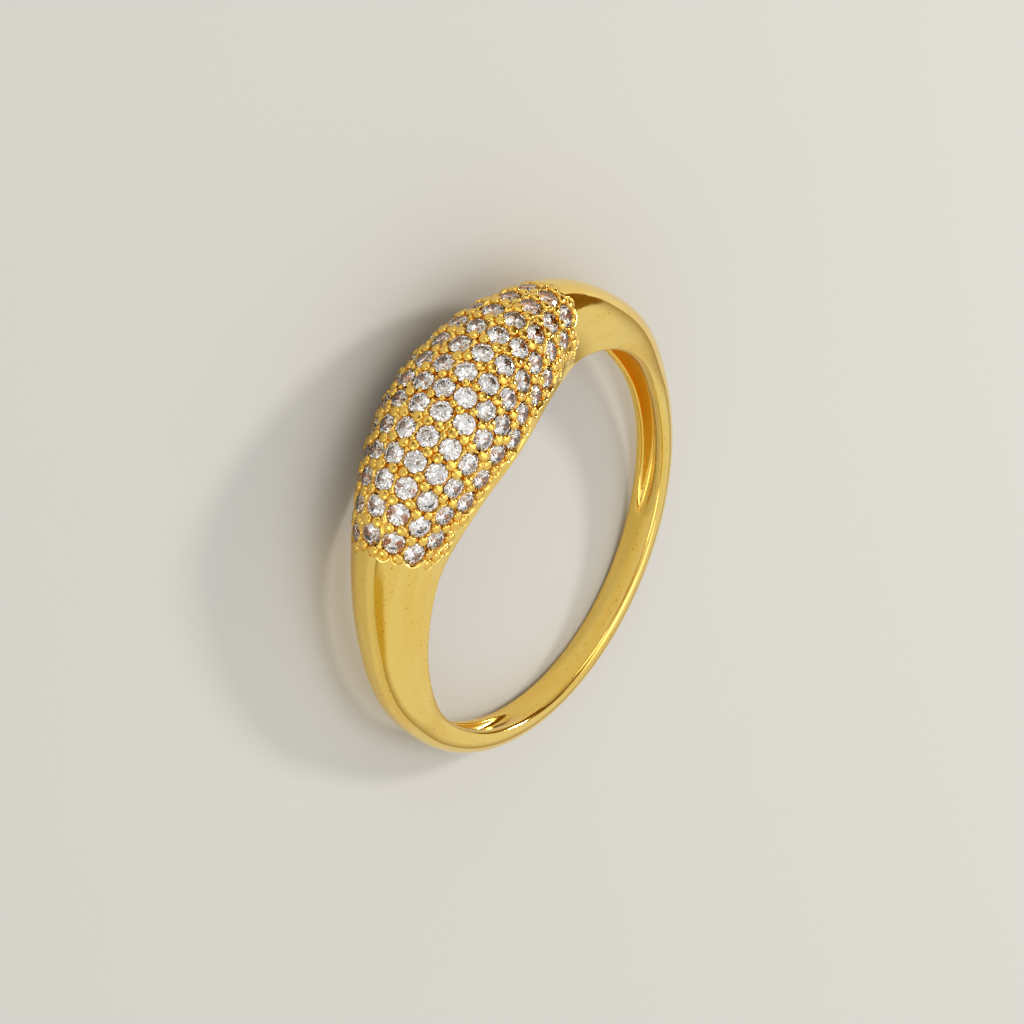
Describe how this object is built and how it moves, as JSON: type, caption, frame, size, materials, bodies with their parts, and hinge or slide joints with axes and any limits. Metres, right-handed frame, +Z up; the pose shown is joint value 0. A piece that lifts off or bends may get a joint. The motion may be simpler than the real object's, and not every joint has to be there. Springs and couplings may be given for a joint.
{
  "type": "ring",
  "caption": "Domed finger ring with a tapered polished band, a pave field of round stones over the dome and a hollowed back.",
  "frame": {"origin": "middle of the outer size, on the surface the ring lies on", "axes": "+Z up from the table; -Y from the middle of the ring toward its dome; +X across the ring. The ring lies on its side, so the finger's axis leans 7.5 degrees from +Z."},
  "size_m": [0.0206, 0.022, 0.0061],
  "materials": {
    "gold": "polished",
    "stones": "cut and polished"
  },
  "bodies": {
    "root": {"ring_body": "gold", "pave_stones": "stones"}
  },
  "joints": []
}
